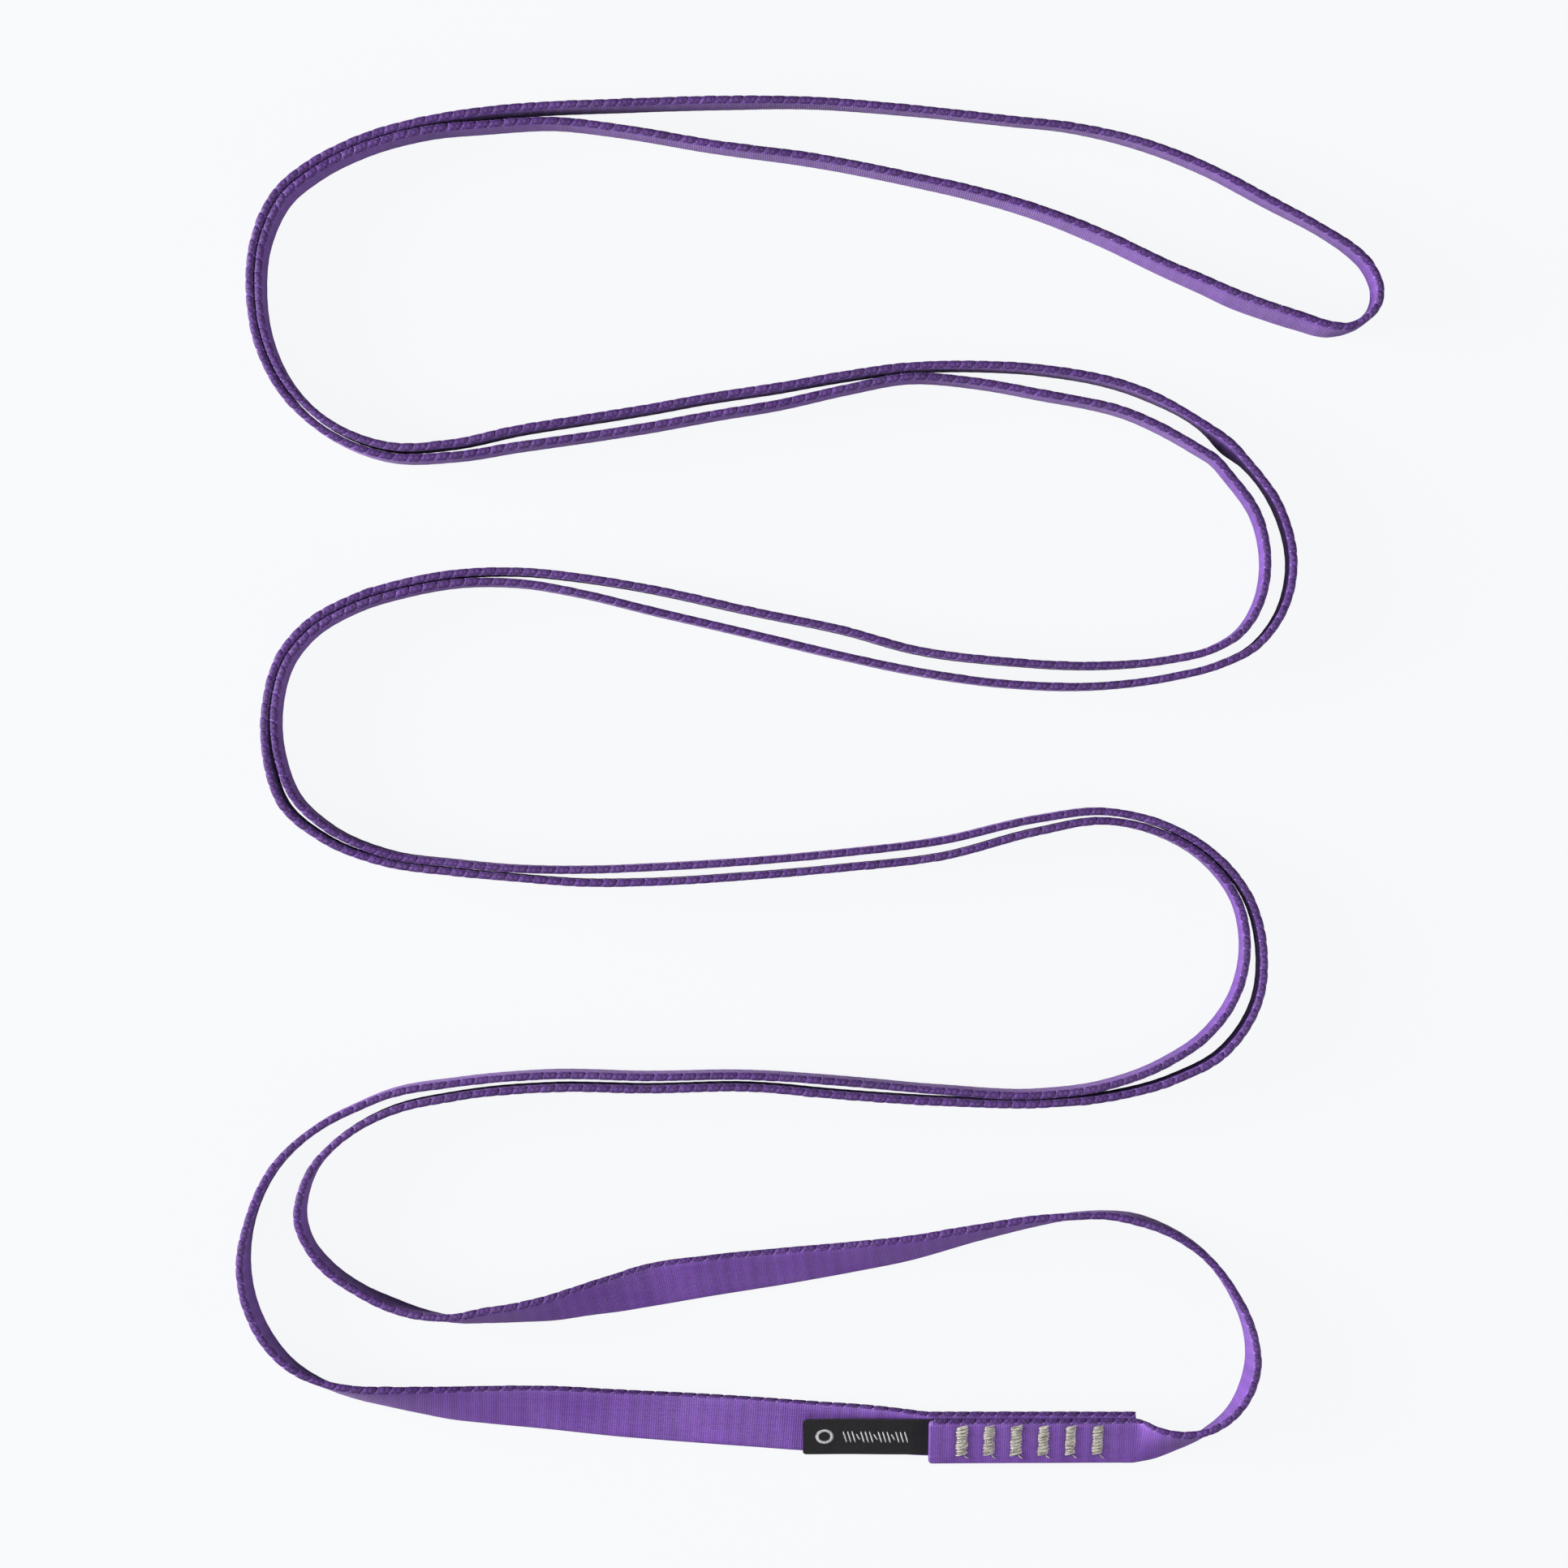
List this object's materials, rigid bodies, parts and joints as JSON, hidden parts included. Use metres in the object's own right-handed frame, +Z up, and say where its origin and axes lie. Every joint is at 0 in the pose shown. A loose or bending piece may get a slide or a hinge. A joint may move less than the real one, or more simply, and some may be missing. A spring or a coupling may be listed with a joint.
{
  "type": "endless sewn sling",
  "caption": "Endless sewn webbing sling with a bar-tacked lap and a caught label, laid on its edge in a doubled serpentine.",
  "frame": {"origin": "middle of the laid sling's box, on the surface it lies on", "axes": "+X along the rows, +Y across the rows away from the sewn lap, +Z up"},
  "size_m": [0.3912, 0.4682, 0.018],
  "materials": {
    "webbing": "woven nylon, satin",
    "thread": "twisted bonded nylon thread, satin",
    "label": "woven label tape, matt"
  },
  "bodies": {
    "sling": {"webbing": "webbing", "needle_thread_1": "thread", "needle_thread_2": "thread", "needle_thread_3": "thread", "needle_thread_4": "thread", "needle_thread_5": "thread", "needle_thread_6": "thread", "bobbin_thread_1": "thread", "bobbin_thread_2": "thread", "bobbin_thread_3": "thread", "bobbin_thread_4": "thread", "bobbin_thread_5": "thread", "bobbin_thread_6": "thread", "label_tab": "label"},
    "label_flap": {"label_flap": "label"}
  },
  "joints": [
    {"name": "label_bend", "type": "hinge", "parent": "sling", "child": "label_flap", "pos_m": [0.04004, -0.22445, 0.0066], "axis": [0, 0.8746, 0.4848], "range_deg": [0, 85]}
  ]
}
